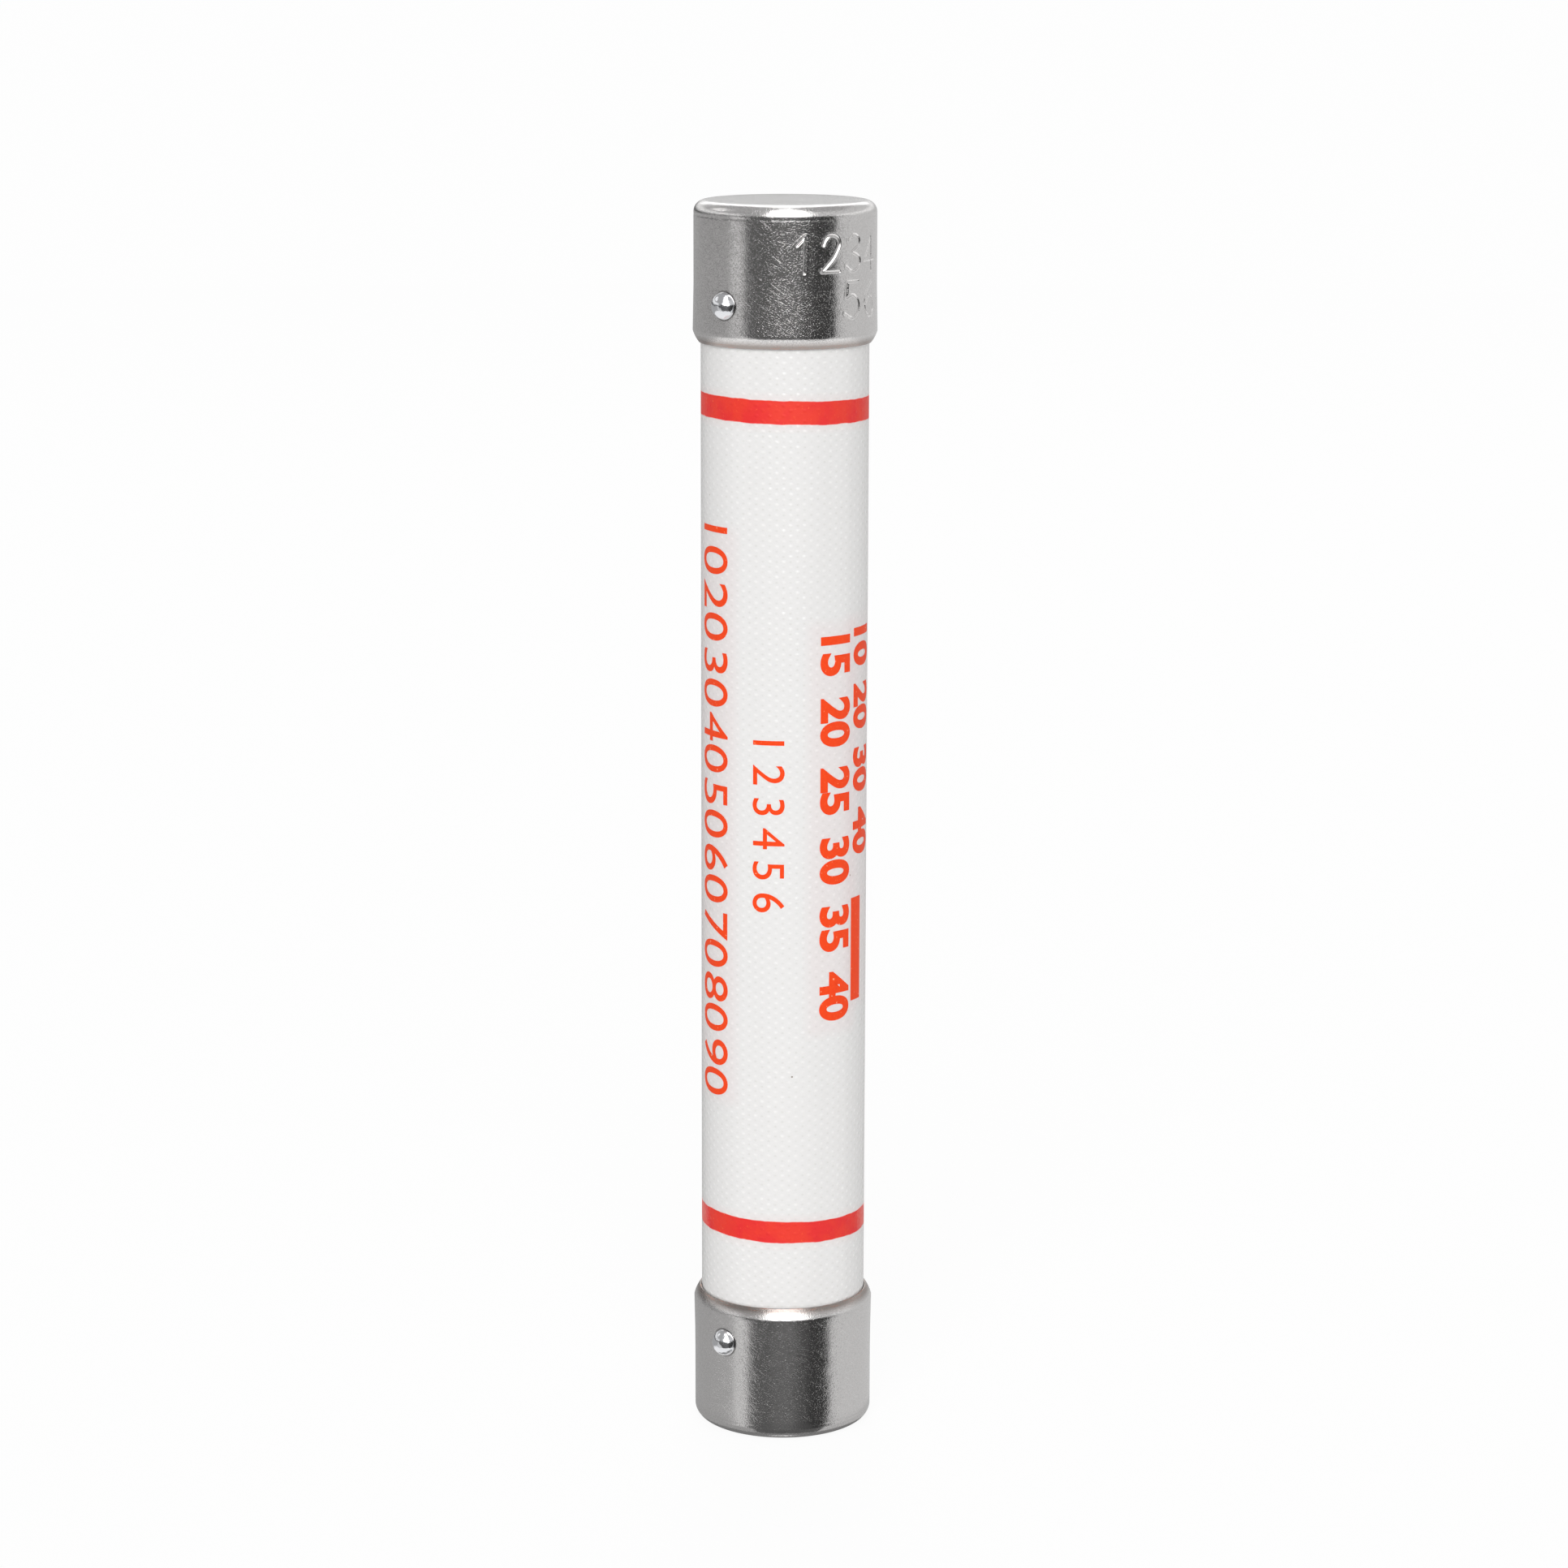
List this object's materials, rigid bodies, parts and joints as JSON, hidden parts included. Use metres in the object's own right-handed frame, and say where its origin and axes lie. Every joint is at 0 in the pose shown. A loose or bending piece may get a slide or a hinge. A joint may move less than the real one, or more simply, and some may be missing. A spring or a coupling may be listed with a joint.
{
  "type": "medium voltage control fuse",
  "caption": "Cylindrical fuse: a white glass cloth tube with two red bands, closed by drawn metal ferrules held with drive pins, for a pair of spring clips.",
  "frame": {"origin": "middle of the bottom ferrule's flat end, which the fuse stands on", "axes": "+Z along the fuse from the bottom ferrule to the top ferrule; the drive pins lie along Y, the front ones at -Y"},
  "size_m": [0.0208, 0.0234, 0.1429],
  "materials": {
    "glass_cloth_tube": "white glass cloth laminate, smooth with the weave showing, two red printed bands",
    "tinned_copper_alloy": "drawn copper alloy, dull tin plating, fine scratches, bare metal at the cut edge",
    "plated_steel": "bright plated, domed heads",
    "vulcanised_fibre": "red-brown vulcanised fibre",
    "mica_board": "pressed mica board, slightly flaky",
    "copper": "annealed copper strip",
    "tin_alloy": "soft solder, dull grey",
    "brass": "stamped brass, plain",
    "steatite": "unglazed steatite ceramic, opaque",
    "silver": "rolled silver ribbon",
    "quartz_sand": "packed quartz sand, opaque",
    "plug_plastic": "moulded plug, plain black"
  },
  "bodies": {
    "root": {"fuse_tube": "glass_cloth_tube", "element_core": "steatite", "fuse_element": "silver", "alloy_bead": "tin_alloy", "sand_filler": "quartz_sand", "fill_plug": "plug_plastic", "bottom_ferrule": "tinned_copper_alloy", "bottom_ferrule_pin_front": "plated_steel", "bottom_ferrule_pin_back": "plated_steel", "bottom_gasket": "vulcanised_fibre", "bottom_closing_disc": "mica_board", "bottom_lead_strap": "copper", "bottom_solder_joint": "tin_alloy", "bottom_core_clip": "brass", "top_ferrule": "tinned_copper_alloy", "top_ferrule_pin_front": "plated_steel", "top_ferrule_pin_back": "plated_steel", "top_gasket": "vulcanised_fibre", "top_closing_disc": "mica_board", "top_lead_strap": "copper", "top_solder_joint": "tin_alloy", "top_core_clip": "brass"}
  },
  "joints": []
}
